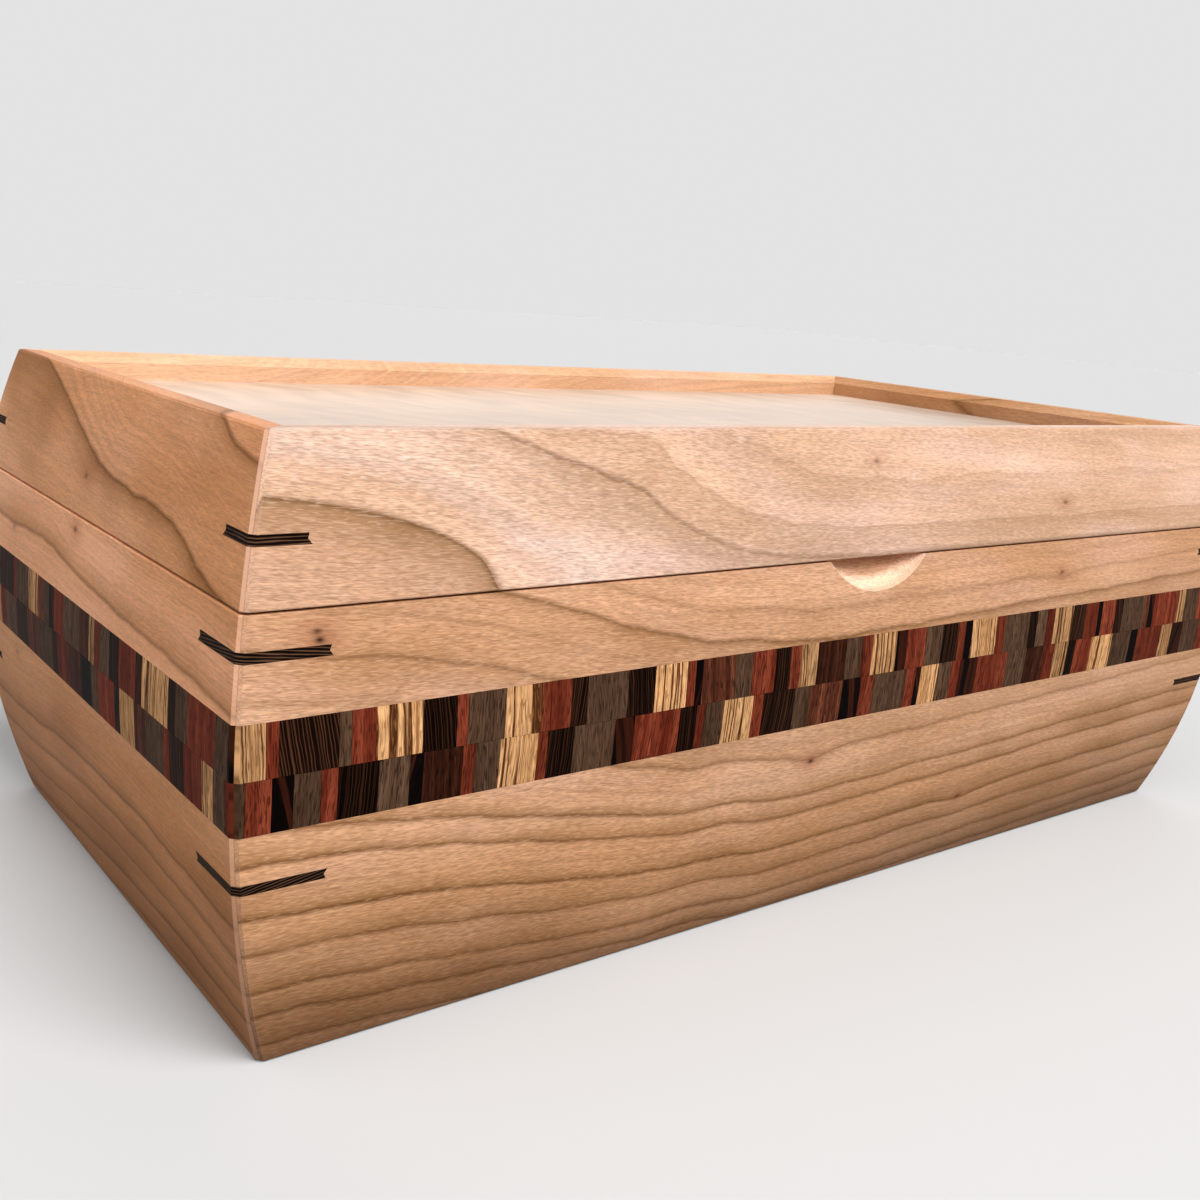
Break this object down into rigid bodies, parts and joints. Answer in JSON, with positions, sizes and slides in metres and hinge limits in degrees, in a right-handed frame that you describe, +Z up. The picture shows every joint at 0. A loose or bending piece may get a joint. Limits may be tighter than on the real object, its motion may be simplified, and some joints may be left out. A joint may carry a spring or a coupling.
{
  "type": "keepsake chest",
  "caption": "Small keepsake chest with barrel-curved mitred sides, wood mosaic inlay band, keyed corners, finger scoop and a hinged lid with a recessed panel.",
  "frame": {"origin": "middle of the base, on the surface the chest stands on", "axes": "+X along the length to the right of someone facing the front, +Y to the back, +Z up"},
  "size_m": [0.406, 0.218, 0.15],
  "materials": {
    "cherry": "satin oil",
    "maple": "satin oil",
    "bottom_ply": "satin oil",
    "felt": "matt felt",
    "key_wenge": "satin oil",
    "wenge": "satin oil",
    "padauk": "satin oil",
    "walnut": "satin oil",
    "zebrawood": "satin oil",
    "ebony": "satin oil",
    "rosewood": "satin oil",
    "brass": "satin"
  },
  "bodies": {
    "body": {"body_front": "cherry", "body_back": "cherry", "body_left": "cherry", "body_right": "cherry", "bottom_panel": "bottom_ply", "bottom_lining": "felt", "inlay_front_wenge": "wenge", "inlay_front_padauk": "padauk", "inlay_front_walnut": "walnut", "inlay_front_zebrawood": "zebrawood", "inlay_front_ebony": "ebony", "inlay_front_rosewood": "rosewood", "inlay_back_wenge": "wenge", "inlay_back_padauk": "padauk", "inlay_back_walnut": "walnut", "inlay_back_zebrawood": "zebrawood", "inlay_back_ebony": "ebony", "inlay_back_rosewood": "rosewood", "inlay_left_wenge": "wenge", "inlay_left_padauk": "padauk", "inlay_left_walnut": "walnut", "inlay_left_zebrawood": "zebrawood", "inlay_left_ebony": "ebony", "inlay_left_rosewood": "rosewood", "inlay_right_wenge": "wenge", "inlay_right_padauk": "padauk", "inlay_right_walnut": "walnut", "inlay_right_zebrawood": "zebrawood", "inlay_right_ebony": "ebony", "inlay_right_rosewood": "rosewood", "key_low_front_left": "key_wenge", "key_low_front_right": "key_wenge", "key_low_back_left": "key_wenge", "key_low_back_right": "key_wenge", "key_high_front_left": "key_wenge", "key_high_front_right": "key_wenge", "key_high_back_left": "key_wenge", "key_high_back_right": "key_wenge", "hinge_left_body_leaf": "brass", "hinge_left_pin": "brass", "hinge_right_body_leaf": "brass", "hinge_right_pin": "brass", "body_hinge_screws": "brass"},
    "lid": {"lid_front": "cherry", "lid_back": "cherry", "lid_left": "cherry", "lid_right": "cherry", "lid_panel": "maple", "key_lid_front_left": "key_wenge", "key_lid_front_right": "key_wenge", "key_lid_back_left": "key_wenge", "key_lid_back_right": "key_wenge", "hinge_left_lid_leaf": "brass", "hinge_right_lid_leaf": "brass", "lid_hinge_screws": "brass"}
  },
  "joints": [
    {"name": "lid_hinge", "type": "hinge", "parent": "body", "child": "lid", "pos_m": [0, 0.10282, 0.1128], "axis": [-1, 0, 0], "range_deg": [0, 98]}
  ]
}
